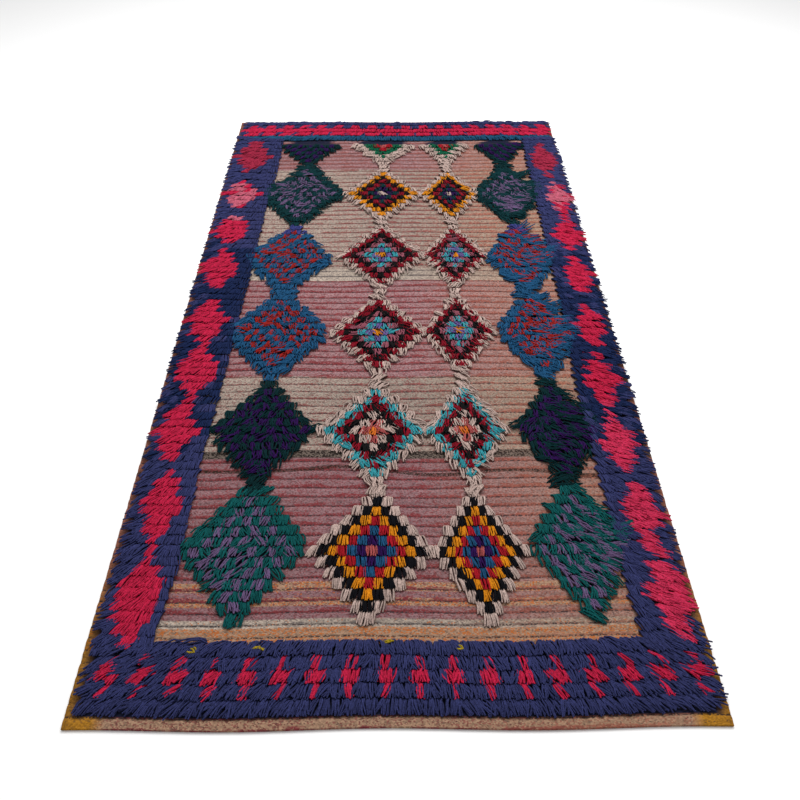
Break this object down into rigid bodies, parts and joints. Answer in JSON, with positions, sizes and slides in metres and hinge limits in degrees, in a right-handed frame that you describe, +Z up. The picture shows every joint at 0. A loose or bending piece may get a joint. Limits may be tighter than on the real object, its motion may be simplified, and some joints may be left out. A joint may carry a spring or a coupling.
{
  "type": "wool rug",
  "caption": "Hand-woven wool rug lying flat: ribbed flat-woven ground, raised knotted pile lozenges in the field and a shaggy pile border on all sides.",
  "frame": {"origin": "middle of the flat underside, on the floor", "axes": "+X across the width, +Y along the length towards the end that the pile leans away from, +Z up through the pile"},
  "size_m": [1.35, 2.6636, 0.0233],
  "materials": {
    "wool": "matt hand-spun wool yarn, navy and crimson pile on a rose and cream ribbed weave"
  },
  "bodies": {
    "root": {"rug": "wool"}
  },
  "joints": []
}
